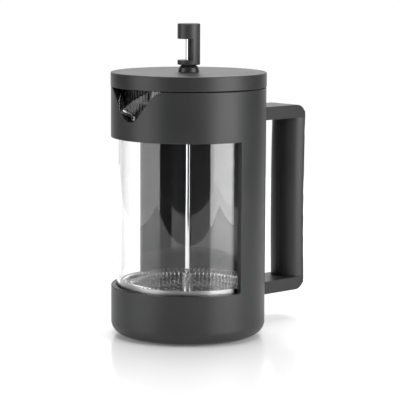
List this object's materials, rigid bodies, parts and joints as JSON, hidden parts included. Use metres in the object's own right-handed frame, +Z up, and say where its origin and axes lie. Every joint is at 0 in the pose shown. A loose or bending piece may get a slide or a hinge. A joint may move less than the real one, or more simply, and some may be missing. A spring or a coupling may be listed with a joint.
{
  "type": "french press",
  "caption": "Cylindrical coffee press: open-sided dark housing with a side handle, glass beaker with a spout, flat lid and a plunger with a coil-edged filter.",
  "frame": {"origin": "centre of the non-slip pad's underside, on the axis of the beaker, at the surface that the press stands on", "axes": "+Z up along the plunger rod, +X towards the handle, -X towards the spout, +Y completes the right-handed frame"},
  "size_m": [0.1578, 0.1044, 0.2089],
  "materials": {
    "body_plastic": "fine-grained matte anthracite polypropylene",
    "lid_plastic": "fine-grained matte anthracite polypropylene",
    "knob_plastic": "fine-grained matte anthracite polypropylene",
    "strainer_plastic": "smooth satin black polypropylene",
    "guide_plastic": "glossy black acetal",
    "foot_rubber": "matte black non-slip rubber",
    "cushion_silicone": "soft grey silicone",
    "screw_steel": "zinc-plated steel",
    "beaker_glass": "clear borosilicate glass with a fire-polished rim",
    "rod_steel": "polished stainless steel",
    "insert_brass": "turned brass",
    "hub_chrome": "chrome-plated and polished",
    "plate_steel": "pressed and perforated stainless steel",
    "coil_steel": "drawn stainless spring wire",
    "mesh_steel": "woven stainless wire cloth"
  },
  "bodies": {
    "housing": {"housing": "body_plastic", "base_pad": "foot_rubber", "beaker_cushion": "cushion_silicone", "handle_left": "body_plastic", "handle_right": "body_plastic", "handle_screws": "screw_steel"},
    "beaker": {"beaker": "beaker_glass"},
    "rod_guide": {"rod_guide": "guide_plastic", "guide_nut": "guide_plastic"},
    "lid": {"lid": "lid_plastic", "lid_strainer": "strainer_plastic"},
    "plunger": {"plunger_rod": "rod_steel", "knob": "knob_plastic", "knob_insert": "insert_brass", "hub": "hub_chrome", "spiral_plate": "plate_steel", "coil_spring": "coil_steel", "filter_mesh": "mesh_steel", "cross_plate": "plate_steel", "cross_boss": "hub_chrome"}
  },
  "joints": [
    {"name": "beaker_lift", "type": "slide", "parent": "housing", "child": "beaker", "axis": [0, 0, 1], "range_m": [0, 0.18]},
    {"name": "lid_lift", "type": "slide", "parent": "beaker", "child": "rod_guide", "axis": [0, 0, 1], "range_m": [0, 0.17]},
    {"name": "lid_turn", "type": "hinge", "parent": "rod_guide", "child": "lid", "pos_m": [0, 0, 0.172], "axis": [0, 0, 1], "continuous": true},
    {"name": "plunger_slide", "type": "slide", "parent": "rod_guide", "child": "plunger", "axis": [0, 0, 1], "range_m": [0, 0.108]}
  ]
}
